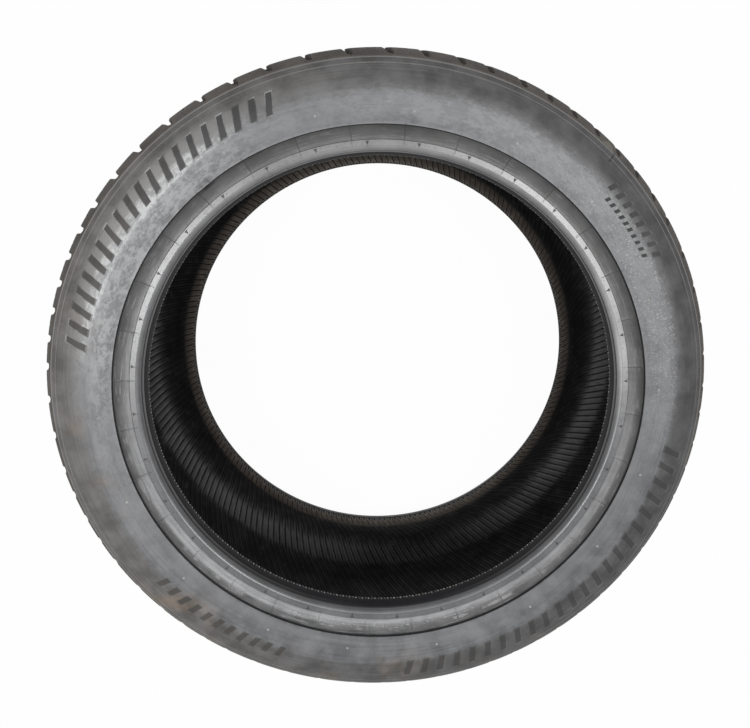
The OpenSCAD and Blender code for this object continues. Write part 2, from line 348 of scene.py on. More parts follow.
def sidewall_rows():
    """Section points from the shoulder curve down to the toe, and the part each belongs to."""
    rows = []

    def add(points, part):
        """Go on with these points, which belong to one part."""
        rows.extend((np.asarray(p, float), PARTS.index(part)) for p in points)

    line, end = mould_line(shoulder_c, SHOULDER_R, FIRST_LINE_A)
    add(line, "sidewall")
    add(turn(shoulder_c, SHOULDER_R, end + 0.8, side_a, 2), "sidewall")
    line, end = mould_line(side_c, side_arc_r, SECOND_LINE_A)
    add(line, "sidewall")
    add(turn(side_c, side_arc_r, end + 0.8, 90, 14), "sidewall")
    add(lower_side(protector, widest, 14)[-2::-1], "sidewall")
    add(hollow(14), "flange")
    fine_groove = [flat_end - [0.25, 0.35], flat_end - [0.6, 0], flat_end - [0.9, 0]]
    add(fine_groove, "bead")
    add([heel_c + [0.4, HEEL_R]], "bead")
    add(turn(heel_c, HEEL_R, 90, 174, 8), "bead")
    add([heel_foot + [0, 1], heel_foot, heel_foot + [HEEL_LINE, -HEEL_LINE]], "bead")
    seat_rib = [heel_foot - [0, 1.7], heel_foot - [0.35, 2.2], heel_foot - [0.5, 2.9],
                heel_foot - [1.1, 3.4], heel_foot - [1.4, 4.0]]
    add(seat_rib, "seat")
    add([[BORE_R, TOE_Z + TOE_LAND], [BORE_R, TOE_Z + 2], [BORE_R, TOE_Z]], "seat")
    add(turn(np.array([BORE_R + TOE_R, TOE_Z]), TOE_R, 180, 260, 4)[1:], "seat")
    return rows


# Where the wide part of the sidewall starts and stops to be lower: from, fully, until, back
SUNK_RING = (288, 298, 329, 333)


def sunk(points):
    """Lower the wide part of the sidewall, so that the bars on it stay within its width."""
    r = points[..., 0]
    points = points.copy()
    points[..., 1] -= BAR_UP * smooth_step(r, *SUNK_RING[:2]) * (1 - smooth_step(r, *SUNK_RING[2:]))
    return points


def line_columns():
    """Columns of one sector, in degrees after its flange line: line, plain rubber, tick."""
    line = [-0.42, -0.15, -0.09, 0.06, 0.12, 0.4]
    plain = [1.0, 1.7, 2.4, 2.95]
    tick = [TICK_AFTER_LINE + d for d in (-0.1, -0.05, 0.05, 0.1)]
    rest = [3.9, 4.7, 5.5, 6.3, 7.1, 7.9, 8.7, 9.5, 10.2]
    return np.array(line + plain + tick + rest)


def sidewall_piece(name, side, materials):
    """The outside of one sidewall from the shoulder to the toe, with its flange lines cut in."""
    sector = line_columns()
    starts = FIRST_FLANGE_LINE + 360 / FLANGE_LINES * np.arange(FLANGE_LINES)
    angles = (starts[:, None] + sector[None, :]).ravel()
    column = np.tile(np.arange(len(sector)), FLANGE_LINES)
    in_line, lit_edge, in_tick = np.isin(column, (2, 3)), column == 1, np.isin(column, (11, 12))
    rows = sidewall_rows()
    section = sunk(np.array([p for p, _ in rows]))
    parts = [part for _, part in rows]
    points = clockwise(section, angles)
    for i, (p, part) in enumerate(rows):
        on_flange = PARTS[part] == "flange" and p[1] > FACE_Z - 0.01
        beside_it = PARTS[part] == "bead" and p[0] > 264.8
        if on_flange or beside_it:
            points[i, in_line, 2] -= LINE_D if on_flange else BEAD_LINE_D
            points[i, lit_edge, 2] += LINE_EDGE_UP if on_flange else 0
        if PARTS[part] == "bead" and 257 < p[0] < 266.3 and p[1] > 112:
            points[i, in_tick, 2] -= TICK_D
    if side > 0:
        tear_edge(points, section, angles)
    inside_z = HALF_W - 5.0    # the back of the ring, hidden in the casing
    back = np.array([[262, 104], [270, 110], [281, 121], [306, inside_z],
                     [322, inside_z - 2.5], shoulder_c + [13, 22]])
    points = np.concatenate([points, clockwise(back, angles)])
    points[:, :, 2] *= side
    back_parts = [PARTS.index("seat")] * 2 + [PARTS.index("sidewall")] * 4
    return ring_piece(name, points, materials, parts + back_parts)


def tear_edge(points, section, angles):
    """Pull the edge of the rim protector down and in where it is torn and chipped."""
    for middle, half, depth in TEARS:
        away = np.abs((angles - middle + 180) % 360 - 180)
        torn = 1 - smooth_step(away, half * 0.5, half)
        ragged = depth * torn * (0.75 + 0.25 * np.sin(angles * 21))
        for i, (r, z) in enumerate(section):
            beside = 1 - smooth_step(abs(r - PROTECTOR_R), 1.0, 3.0)
            points[i, :, 2] -= ragged * float(beside * smooth_step(z, 127, 129.5))


# ---- small marks on the sidewalls

def wall_height(r):
    """Height of the sidewall at radius r."""
    rows = np.array([p for p, part in sidewall_rows() if PARTS[part] == "sidewall"])[::-1]
    return np.interp(r, rows[:, 0], sunk(rows)[:, 1])


def grid_faces(first, rows, cols):
    """Faces of a rows x cols grid whose points start at index first."""
    index = first + np.arange(rows * cols).reshape(rows, cols)
    quads = np.stack([index[:-1, :-1], index[:-1, 1:], index[1:, 1:], index[1:, :-1]], -1)
    return quads.reshape(-1, 4)


def plate(top, base):
    """Points and faces of a closed plate from two grids of the same size; also which faces
    are on its rim (1) or inside it (0)."""
    rows, cols = top.shape[:2]
    count = rows * cols
    index = np.arange(count).reshape(rows, cols)
    loop = np.concatenate([index[0, :-1], index[:-1, -1], index[-1, :0:-1], index[:0:-1, 0]])
    after = np.roll(loop, -1)
    skirt = np.stack([loop, after, after + count, loop + count], -1)
    faces = np.concatenate([grid_faces(0, rows, cols), grid_faces(count, rows, cols), skirt])
    cell = np.ones((rows - 1, cols - 1), int)
    cell[1:-1, 1:-1] = 0
    rim = np.concatenate([cell.ravel(), np.ones(cell.size + len(loop), int)])
    return np.concatenate([top.reshape(-1, 3), base.reshape(-1, 3)]), faces, rim


def bar_plate(angle, width, r_in, r_out, slant):
    """One slanted bar with a fine ribbed face inside a raised rim."""
    down = np.array([0, 0.06, 0.28, 0.5, 0.72, 0.94, 1])
    across = np.array([0, 0.09, 0.2, 0.3, 0.4, 0.5, 0.6, 0.7, 0.8, 0.91, 1])
    r = r_in + (r_out - r_in) * down
    up = np.full((len(down), len(across)), BAR_UP)
    up[1:-1, 1:-1] = BAR_FACE_UP + BAR_RIB_UP * (np.arange(len(across) - 2) % 2)
    offset = (across[None, :] - 0.5) * width + slant * (down[:, None] - 0.5)
    angles = angle + np.degrees(offset / r[:, None])
    heights = wall_height(r)[:, None]

    def grid(rise):
        """Points of the bar, each that far above the sidewall."""
        section = np.stack([np.broadcast_to(r[:, None], angles.shape), heights + rise], -1)
        return at_angle(section, angles)

    return plate(grid(up), grid(np.full_like(up, -PLATE_DEEP)))


def vent_plate(angle, r):
    """A small round mark where a vent of the mould was."""
    share = np.linspace(-1, 1, 5)
    x, y = np.meshgrid(share, share)
    flat = np.sqrt(1 - y ** 2 / 2), np.sqrt(1 - x ** 2 / 2)
    dx, dy = x * flat[0] * VENT_R, y * flat[1] * VENT_R
    dome = VENT_UP * (1 - np.clip(np.hypot(dx, dy) / VENT_R, 0, 1) ** 2) + 0.02
    rr = r + dy
    section = np.stack([rr, wall_height(rr) + dome], -1)
    angles = angle + np.degrees(dx / r)
    return plate(at_angle(section, angles), at_angle(section - [0, PLATE_DEEP], angles))


def arrow_plate(angle):
    """A small arrowhead on the bead's flat band, pointing at the axis."""
    down = np.array([0, 0.5, 1.0])
    across = np.array([-1, -0.35, 0.35, 1])
    wings = 0.9 * np.abs(across)[None, :] * (1 - down[:, None])
    r = ARROW_R - ARROW_LONG * down[:, None] + wings
    offset = across[None, :] * (ARROW_HALF_W - 1.7 * down[:, None])
    angles = angle + np.degrees(offset / r)
    section = np.stack([r, np.full_like(r, FACE_Z + ARROW_UP)], -1)
    return plate(at_angle(section, angles), at_angle(section - [0, ARROW_DEEP], angles))


def gather(name, plates, side, materials, sharp=30):
    """One piece from many small closed plates, on the near or the far side."""
    points, faces, rims, first = [], [], [], 0
    for p, f, rim in plates:
        points.append(p * [1, 1, side])
        faces.append(f + first)
        rims.append(rim)
        first += len(p)
    return mesh_piece(name, np.concatenate(points), np.concatenate(faces).tolist(), materials,
                      np.concatenate(rims).astype(np.int32), sharp)


def bar_plates():
    """All the plain bars, row by row."""
    plates = []
    for first, last, count, r_in, r_out, slant in BAR_ROWS:
        step = (last - first) / (count - 1)
        width = math.radians(step) * (r_in + r_out) / 2 * BAR_FILL
        plates += [bar_plate(first + step * i, width, r_in, r_out, slant) for i in range(count)]
    return plates


def vent_plates():
    """The vent marks, not quite evenly spaced."""
    dice = random.Random(4)
    plates = []
    for k in range(VENTS):
        angle = FIRST_VENT + 360 // VENTS * k + dice.uniform(-2, 2)
        plates.append(vent_plate(angle, VENT_RING_R + dice.uniform(-1, 1)))
    return plates


def arrow_plates():
    """One arrow at each flange line's tick."""
    first, step = FIRST_FLANGE_LINE + TICK_AFTER_LINE, 360 / FLANGE_LINES
    return [arrow_plate(first + step * k) for k in range(FLANGE_LINES)]


# ---- inner liner

# The four columns of one ridge: where it is in the pitch, how high, and the mark that tells the
# liner's rubber where on the ridge it is (0 in the valley, 1 in the groove along its top)
RIDGES = 212
RIDGE_SHARE = np.array([0, 0.13, 0.5, 0.87])
RIDGE_UP = np.array([-0.5, 0.25, -0.25, 0.3])
RIDGE_TOP = np.array([0, 0.8, 1, 0.9])
RIDGE_MARK = "ridge_top"
# How far the ridges turn from toe to toe, in degrees; how they sink near the toes
RIDGE_SWEEP, RIDGE_END_LONG, RIDGE_END_UP = 38.0, 3.0, 0.85


def liner_section():
    """Section points of the inside, from the near toe to the far one."""
    low = protector + PROTECTOR_T * protector_way[::-1] * [1, -1]
    toe = np.array([BORE_R + TOE_R, TOE_Z - TOE_R])
    way = low - toe
    half = np.concatenate([
        [[BORE_R + 0.25, TOE_Z + 2.0]],
        turn(np.array([BORE_R + TOE_R, TOE_Z]), TOE_R, 180, 270, 4),
        blend(toe, toe + way * [0.45, 0.13], low - way * [0.3, 0.27], low, 10)[1:],
        lower_side(low, widest - [0, SIDEWALL_T], 4)[1:],
        turn_inside(side_c, side_arc_r, 90, side_a, 5, SIDEWALL_T, SHOULDER_T)[1:],
        turn_inside(shoulder_c, SHOULDER_R, side_a, crown_a, 5, SHOULDER_T, CROWN_T)[1:],
        turn_inside(crown_c, CROWN_ARC_R, crown_a, 0, 6, CROWN_T, CROWN_T)[1:]])
    return np.concatenate([half, half[-2::-1] * [1, -1]])


def liner_piece(material):
    """The inside of the tyre, with fine ridges that run aslant from toe to toe."""
    section = liner_section()
    step = np.gradient(section, axis=0)
    inward = np.stack([-step[:, 1], step[:, 0]], 1)
    inward /= np.linalg.norm(inward, axis=1, keepdims=True)
    if inward[len(inward) // 2, 0] > 0:
        inward = -inward
    along = np.concatenate([[0], np.cumsum(np.linalg.norm(np.diff(section, axis=0), axis=1))])
    sweep = RIDGE_SWEEP * (along / along[-1] - 0.5)
    ridge = 360 / RIDGES
    base = (np.arange(RIDGES)[:, None] * ridge + RIDGE_SHARE[None, :] * ridge).ravel()
    up = np.tile(RIDGE_UP, RIDGES)
    angles = base[None, :] + sweep[:, None]
    to_toe = np.minimum(along, along[-1] - along)
    fade = np.clip(to_toe / RIDGE_END_LONG, RIDGE_END_UP, 1)
    lifted = section[:, None, :] + inward[:, None, :] * (up[None, :] * fade[:, None])[..., None]
    points = at_angle(lifted, angles)
    some = slice(-4, 3, -3)
    behind = (section - 4 * inward)[some]
    points = np.concatenate([points, clockwise(behind, angles[some])])
    liner = ring_piece("inner_liner", points, [material], sharp=40)
    ridge_top = np.broadcast_to(np.tile(RIDGE_TOP, RIDGES), points.shape[:2])
    mark = liner.data.attributes.new(RIDGE_MARK, "FLOAT", "POINT")
    mark.data.foreach_set("value", ridge_top.astype(np.float32).ravel())
    return liner


# ---- shader benches and the effects that the rubbers share

class Bench:
    """Puts nodes into one tree and wires them."""

    def __init__(self, tree):
        self.tree = tree

    def put(self, kind, **settings):
        """A new node of that kind, with its settings."""
        node = self.tree.nodes.new(kind if kind.startswith("Node") else "ShaderNode" + kind)
        for name, value in settings.items():
            setattr(node, name, value)
        return node

    def feed(self, socket, value):
        """Link a value's socket, or set a plain value."""
        if isinstance(value, bpy.types.NodeSocket):
            self.tree.links.new(value, socket)
        else:
            socket.default_value = value

    def math(self, operation, *values, clamp=False):
        """One step of arithmetic."""
        node = self.put("Math", operation=operation, use_clamp=clamp)
        for socket, value in zip(node.inputs, values):
            self.feed(socket, value)
        return node.outputs[0]

    def join(self, operation, first, *others):
        """Put the values together, one after the other."""
        for other in others:
            first = self.math(operation, first, other)
        return first

    def product(self, *values):
        """All the values multiplied."""
        return self.join("MULTIPLY", *values)

    def most(self, *values):
        """The greatest of the values."""
        return self.join("MAXIMUM", *values)

    def vector(self, operation, *values):
        """One step of arithmetic with places or directions."""
        node = self.put("VectorMath", operation=operation)
        for socket, value in zip(node.inputs, values):
            self.feed(socket, value)
        return node.outputs["Value" if operation == "LENGTH" else "Vector"]

    def ramp(self, value, low, high, to_low=0.0, to_high=1.0):
        """A smooth change from to_low, where the value is low, to to_high, where it is high."""
        node = self.put("MapRange", interpolation_type="SMOOTHSTEP")
        for socket, given in zip(node.inputs, (value, low, high, to_low, to_high)):
            self.feed(socket, given)
        return node.outputs[0]

    def noise(self, vector, scale, detail=4.0, roughness=0.55, distortion=0.0):
        """Noise from 0 to 1, for the most part near a half."""
        node = self.put("TexNoise")
        self.feed(node.inputs["Vector"], vector)
        for name, value in (("Scale", scale), ("Detail", detail), ("Roughness", roughness),
                            ("Distortion", distortion)):
            self.feed(node.inputs[name], value)
        return node.outputs[0]

    def mix(self, share, first, second, blend_type="MIX"):
        """From the first colour to the second as the share goes from 0 to 1."""
        node = self.put("Mix", data_type="RGBA", blend_type=blend_type)
        self.feed(node.inputs[0], share)
        for socket, colour in ((node.inputs[6], first), (node.inputs[7], second)):
            self.feed(socket, (*colour, 1) if isinstance(colour, tuple) else colour)
        return node.outputs[2]

    def effect(self, tree, **values):
        """Place one of the effects below; underscores in the names stand for spaces."""
        node = self.put("Group", node_tree=tree)
        for name, value in values.items():
            self.feed(node.inputs[name.replace("_", " ")], value)
        return node.outputs


def new_effect(name, inputs, outputs):
    """An empty node group with its sockets, and a bench to fill it."""
    tree = bpy.data.node_groups.new(name, "ShaderNodeTree")
    for label, start in inputs.items():
        vector = start is None
        socket = tree.interface.new_socket(name=label, in_out="INPUT", socket_type=(
            "NodeSocketVector" if vector else "NodeSocketFloat"))
        if not vector:
            socket.default_value = start
    for label in outputs:
        tree.interface.new_socket(name=label, in_out="OUTPUT", socket_type=(
            "NodeSocketVector" if label == "Direction" else "NodeSocketFloat"))
    bench = Bench(tree)
    return tree, bench, bench.put("NodeGroupInput").outputs, bench.put("NodeGroupOutput").inputs


def tyre_place():
    """Where a point is on the tyre: radius and height in mm, angle clockwise from the top."""
    tree, bench, _, out = new_effect("tyre_place", {}, ("Radius", "Height", "Clockwise",
                                                        "Direction"))
    place = bench.vector("MULTIPLY", bench.put("TexCoord").outputs["Object"], (1000,) * 3)
    apart = bench.put("SeparateXYZ")
    bench.feed(apart.inputs[0], place)
    flat = bench.vector("MULTIPLY", place, (1, 1, 0))
    bench.feed(out["Radius"], bench.vector("LENGTH", flat))
    bench.feed(out["Height"], apart.outputs[2])
    angle = bench.math("DEGREES", bench.math("ARCTAN2", apart.outputs[0], apart.outputs[1]))
    bench.feed(out["Clockwise"], bench.math("FLOORED_MODULO", angle, 360.0))
    bench.feed(out["Direction"], bench.vector("NORMALIZE", flat))
    return tree


def round_band():
    """1 between two values, with soft ends."""
    tree, bench, given, out = new_effect(
        "round_band", {"Value": 0.0, "Low": 0.0, "High": 1.0, "Soft": 1.0}, ("Share",))
    rise = bench.ramp(given["Value"], bench.math("SUBTRACT", given["Low"], given["Soft"]),
                      bench.math("ADD", given["Low"], given["Soft"]))
    fall = bench.ramp(given["Value"], bench.math("SUBTRACT", given["High"], given["Soft"]),
                      bench.math("ADD", given["High"], given["Soft"]), 1.0, 0.0)
    bench.feed(out["Share"], bench.math("MULTIPLY", rise, fall))
    return tree


def worn_sector():
    """1 at one angle of the tyre, falling to 0 on both sides of it."""
    tree, bench, given, out = new_effect(
        "worn_sector", {"Clockwise": 0.0, "Middle": 0.0, "Reach": 45.0}, ("Share",))
    away = bench.math("SUBTRACT", given["Clockwise"], given["Middle"])
    away = bench.math("WRAP", away, 180.0, -180.0)
    bench.feed(out["Share"], bench.ramp(bench.math("ABSOLUTE", away), 0.0, given["Reach"],
                                        1.0, 0.0))
    return tree


def cloudy_scuffs():
    """Clouds of rubbed rubber, the thin curved strokes in them, and an unsteady value from
    -0.5 to 0.5 that makes the edge of a rubbed zone ragged."""
    tree, bench, given, out = new_effect(
        "cloudy_scuffs", {"Direction": None, "Radius": 300.0, "Amount": 0.5, "Scale": 14.0},
        ("Strokes", "Cloud", "Ragged"))
    lift = bench.put("CombineXYZ")
    bench.feed(lift.inputs[2], bench.math("MULTIPLY", given["Radius"], 0.0065))
    place = bench.vector("ADD", given["Direction"], lift.outputs[0])
    coarse, fine = bench.noise(place, 13.0, 5.0, 0.6), bench.noise(place, 60.0, 6.0, 0.7, 0.3)
    both = bench.math("MULTIPLY", bench.math("ADD", coarse, fine), 0.5)
    bench.feed(out["Cloud"], bench.ramp(both, 0.4, 0.6))
    bench.feed(out["Ragged"], bench.math("SUBTRACT", bench.noise(place, 38.0, 8.0, 0.75), 0.5))
    patch = bench.noise(place, given["Scale"], 8.0, 0.68, 0.5)
    patch_edge = bench.math("SUBTRACT", 0.82, bench.math("MULTIPLY", given["Amount"], 0.5))
    swirl = bench.noise(place, 30.0, 2.0, 0.5, 2.2)
    thin = bench.math("ABSOLUTE", bench.math("SUBTRACT", swirl, 0.5))
    bench.feed(out["Strokes"], bench.product(bench.ramp(thin, 0.0, 0.014, 1.0, 0.0),
                                             bench.ramp(patch, patch_edge, 0.8)))
    return tree


def ring_streaks():
    """Fine streaks that run round the tyre."""
    tree, bench, given, out = new_effect(
        "ring_streaks", {"Direction": None, "Radius": 270.0, "Height": 120.0, "Round": 5.0,
                         "Across": 0.9, "Amount": 0.3}, ("Streaks",))
    round_part = bench.put("VectorMath", operation="SCALE")
    bench.feed(round_part.inputs[0], given["Direction"])
    bench.feed(round_part.inputs["Scale"], given["Round"])
    lift = bench.put("CombineXYZ")
    down = bench.math("SUBTRACT", given["Radius"], given["Height"])
    bench.feed(lift.inputs[2], bench.math("MULTIPLY", down, given["Across"]))
    streak = bench.noise(bench.vector("ADD", round_part.outputs[0], lift.outputs[0]), 1.0, 5.0, 0.6)
    edge = bench.math("SUBTRACT", 0.75, bench.math("MULTIPLY", given["Amount"], 0.4))
    bench.feed(out["Streaks"], bench.ramp(streak, edge, bench.math("ADD", edge, 0.14)))
    return tree


def rubber_grain():
    """Fine grain of moulded rubber, a slow mottle of its tone, broad stains, dust in loose
    grains, and small specks."""
    tree, bench, given, out = new_effect("rubber_grain", {"Dustiness": 0.2},
                                         ("Grain", "Mottle", "Stain", "Dust", "Specks"))
    place = bench.put("TexCoord").outputs["Object"]
    bench.feed(out["Grain"], bench.noise(place, 900.0, 3.0, 0.6))
    bench.feed(out["Mottle"], bench.noise(place, 38.0, 5.0, 0.6))
    bench.feed(out["Stain"], bench.noise(place, 11.0, 7.0, 0.62, 0.5))
    dust = bench.noise(place, 420.0, 2.0, 0.5)
    edge = bench.math("SUBTRACT", 0.8, bench.math("MULTIPLY", given["Dustiness"], 0.25))
    bench.feed(out["Dust"], bench.ramp(dust, edge, bench.math("ADD", edge, 0.05)))
    bench.feed(out["Specks"], bench.ramp(bench.noise(place, 520.0, 3.0, 0.7), 0.56, 0.64))
    return tree


# ---- what lies where on the tyre

# Rings: measured by radius or by height in mm, from, to, and how soft their ends are
RINGS = {
    "grey haze": ("Radius", 274.0, 309.0, 3.0),
    "brown stains": ("Radius", 300.0, 350.0, 12.0),
    "pale specks": ("Radius", 282.0, 312.0, 3.0),
    "outer rubbing": ("Radius", 318.0, 350.0, 4.0),
    "first mould line": ("Radius", 341.0, 342.2, 0.4),
    "second mould line": ("Radius", 335.6, 336.6, 0.4),
    "mould joint": ("Radius", 332.0, 350.0, 1.0),
    "protector edge": ("Height", 127.5, 140.0, 1.2),
    "torn edge": ("Height", 124.0, 140.0, 1.5),
    "flange middle": ("Radius", 270.0, 274.5, 1.5),
    "flange foot": ("Radius", 266.0, 271.0, 2.0),
    "flange nicks": ("Radius", 269.0, 275.0, 1.0),
    "bead groove": ("Radius", 265.9, 266.6, 0.2),
    "bead dirt": ("Radius", 260.5, 266.0, 0.5),
    "bead polish": ("Radius", 257.0, 265.8, 0.6),
    "bead line": ("Radius", 259.8, 260.4, 0.2),
    "bead foot": ("Height", 100.0, 112.0, 0.8),
    "seat rib": ("Height", 106.3, 108.6, 0.3),
    "seat": ("Height", 99.5, 105.5, 0.6),
    "toe height": ("Height", 96.0, 101.5, 0.4),
    "toe radius": ("Radius", 250.0, 254.6, 0.3),
    "far bead height": ("Height", -112.0, -86.0, 4.0),
    "far bead radius": ("Radius", 248.0, 266.0, 3.5),
}

# Sectors: their middle, in degrees clockwise from the top, and their reach on each side
SECTORS = {
    "warm side": (272.0, 165.0),
    "stained side": (235.0, 130.0),
    "speckled side": (68.0, 46.0),
    "mould joint": (46.4, 0.22),
    # the pale flange sectors paint light on the flange's lower half, together with its rubbing and
    # scratches
    "pale flange": (205.0, 135.0),
    "pale flange foot": (195.0, 140.0),
    "pale flange middle": (230.0, 55.0),
    "nicked flange": (190.0, 60.0),
    "torn edge": (TEARS[0][0], 3.2),
    # the pale and bright bead sectors paint the highlight of the flat bead band
    "pale bead": (10.0, 115.0),
    "bright bead": (80.0, 30.0),
    "black seat": (180.0, 110.0),
    "lit liner": (180.0, 80.0),
    "warm bars": (245.0, 130.0),
    "rubbed bars": (310.0, 90.0),
}

# Rubbed zones with ragged edges: radius from, to and softness, then the sector's two values
ZONES = {
    "right": (277.0, 314.0, 9.0, 38.0, 95.0),
    "left": (276.0, 303.5, 2.0, 302.0, 95.0),
    "between the bars": (300.0, 316.0, 6.0, 308.0, 60.0),
    "outside the bars": (312.0, 326.0, 5.0, 315.0, 50.0),
    "chalk between the bars": (301.0, 312.5, 4.0, 310.0, 36.0),
    "chalk inside the bars": (280.0, 300.0, 6.0, 305.0, 48.0),
}
ZONE_RAGGED = 11.0    # how far its noise pushes the edge of a zone in and out, in mm


class Rubber:
    """A rubber material: its bench, its shader and where each point is on the tyre."""

    def __init__(self, name, effects, dustiness=0.2):
        self.material = bpy.data.materials.new(name)
        self.material.use_nodes = True
        self.bench = Bench(self.material.node_tree)
        self.shader = self.material.node_tree.nodes["Principled BSDF"]
        self.effects = effects
        self.place = self.bench.effect(effects["tyre_place"])
        self.grain = self.bench.effect(effects["rubber_grain"], Dustiness=dustiness)

    def band(self, value, low, high, soft):
        """1 where the value is between low and high."""
        return self.bench.effect(self.effects["round_band"], Value=value, Low=low, High=high,
                                 Soft=soft)["Share"]

    def ring(self, name):
        """1 in one of the rings above."""
        of, low, high, soft = RINGS[name]
        return self.band(self.place[of], low, high, soft)

    def around(self, middle, reach):
        """1 at one angle, falling to 0 on both sides of it."""
        return self.bench.effect(self.effects["worn_sector"], Clockwise=self.place["Clockwise"],
                                 Middle=middle, Reach=reach)["Share"]

    def sector(self, name):
        """1 in the middle of one of the sectors above."""
        return self.around(*SECTORS[name])

    def scuffs(self, amount, scale):
        """Clouds, strokes and ragged edges of rubbing."""
        return self.bench.effect(self.effects["cloudy_scuffs"], Direction=self.place["Direction"],
                                 Radius=self.place["Radius"], Amount=amount, Scale=scale)

    def streaks(self, around, across, amount):
        """Streaks: how fast they change round the tyre and across it, and how many there are."""
        return self.bench.effect(
            self.effects["ring_streaks"], Direction=self.place["Direction"],
            Radius=self.place["Radius"], Height=self.place["Height"], Round=around,
            Across=across, Amount=amount)["Streaks"]

    def mottled(self, low, high, to_low=0.0, to_high=1.0):
        """The slow mottle of the rubber, turned into a share."""
        return self.bench.ramp(self.grain["Mottle"], low, high, to_low, to_high)

    def tone(self, colour, low=0.82, high=1.18):
        """The colour, a little lighter and darker in patches."""
        return self.bench.mix(1.0, colour, self.mottled(0.3, 0.7, low, high), "MULTIPLY")

    def lay(self, under, mask, most, colour):
        """Lay a colour over another where the mask says, with at most the given share."""
        return self.bench.mix(self.bench.product(mask, most), under, colour)

    def finish(self, colour, roughness, height, depth):
        """Wire up the colour, the roughness, and a relief of the given depth in metres."""
        bench, shader = self.bench, self.shader
        bench.feed(shader.inputs["Base Color"], colour)
        bench.feed(shader.inputs["Roughness"], roughness)
        bump = bench.put("Bump")
        bump.inputs["Strength"].default_value = 1.0
        bump.inputs["Distance"].default_value = depth
        bench.feed(bump.inputs["Height"], height)
        bench.feed(shader.inputs["Normal"], bump.outputs[0])
        return self.material


# ---- the rubbers

# Colours of the rubbers, with the painted light and shade that some of them carry
DARK_RUBBER, WARM_RUBBER = (0.078, 0.078, 0.08), (0.15, 0.145, 0.142)
# the flange's paler grey is partly painted light on its lower half and partly wear
FLANGE_DARK, FLANGE_LIT_AND_WORN_GREY = (0.112, 0.111, 0.11), (0.19, 0.191, 0.194)
BEAD_GREY, BEAD_SHEEN, BEAD_HIGHLIGHT = (0.15, 0.152, 0.157), (0.25, 0.25, 0.255), (0.42, 0.42, 0.425)
SEAT_BLACK, SEAT_GREY, SEAT_RIB = (0.016, 0.016, 0.018), (0.06, 0.06, 0.062), (0.26, 0.26, 0.26)
LINER_VALLEY_SHADE, LINER_GROOVE_SHADE = (0.004, 0.004, 0.004), (0.008, 0.008, 0.008)
LINER_RIDGE, LINER_LIT, LINER_TIP = (0.034, 0.034, 0.036), (0.085, 0.085, 0.088), (0.75, 0.75, 0.73)
TREAD_BROWN, TREAD_EDGE = (0.088, 0.079, 0.071), (0.24, 0.22, 0.19)
TREAD_CUT_SHADE = (0.03, 0.028, 0.025)
BAR_COOL, BAR_WARM, BAR_EDGE = (0.05, 0.05, 0.052), (0.075, 0.068, 0.062), (0.095, 0.093, 0.09)
VENT_GREY = (0.36, 0.35, 0.33)

# Colours of what lies on them: haze, rubbing, scratches, dust and dirt, and painted shade and
# highlights
GREY_HAZE, OUTER_HAZE, BROWN_STAIN = (0.165, 0.168, 0.174), (0.31, 0.305, 0.3), (0.2, 0.155, 0.12)
RUBBED, CHALKY, SCRATCHED = (0.3, 0.303, 0.31), (0.6, 0.605, 0.61), (0.55, 0.55, 0.55)
OUTER_RUBBED, MOULD_LINE_HIGHLIGHT = (0.2, 0.18, 0.16), (0.26, 0.25, 0.24)
FLANGE_HIGHLIGHT_AND_RUB, FLANGE_SCRATCHED = (0.47, 0.475, 0.49), (0.5, 0.5, 0.51)
BEAD_RUBBED, LINER_RUBBED, TREAD_RUBBED = (0.36, 0.36, 0.37), (0.1, 0.1, 0.1), (0.17, 0.15, 0.13)
BAR_RUBBED = (0.3, 0.3, 0.3)
SPECK_AND_GLINT, PALE_NICK = (0.6, 0.6, 0.6), (0.6, 0.6, 0.61)
DUST, TREAD_DUST, FAR_DUST = (0.32, 0.31, 0.29), (0.28, 0.25, 0.21), (0.17, 0.145, 0.12)
DARK_STREAK, FLANGE_STREAK = (0.05, 0.051, 0.054), (0.06, 0.06, 0.06)
# the second colour here is a painted shadow under the protector's edge
BLACK_JOINT, UNDERCUT_SHADOW, TORN = (0.01, 0.01, 0.01), (0.008, 0.008, 0.008), (0.02, 0.019, 0.018)
BEAD_DIRT, GROOVE_SHADE, DARK_FOOT = (0.05, 0.05, 0.052), (0.012, 0.012, 0.012), (0.02, 0.02, 0.021)

# Depths of the relief, in metres
SKIN, FINE_SKIN, POLISHED, SCRATCHES_DEEP, ROUGH_TREAD = 0.0002, 0.0001, 0.00005, 0.00012, 0.00035


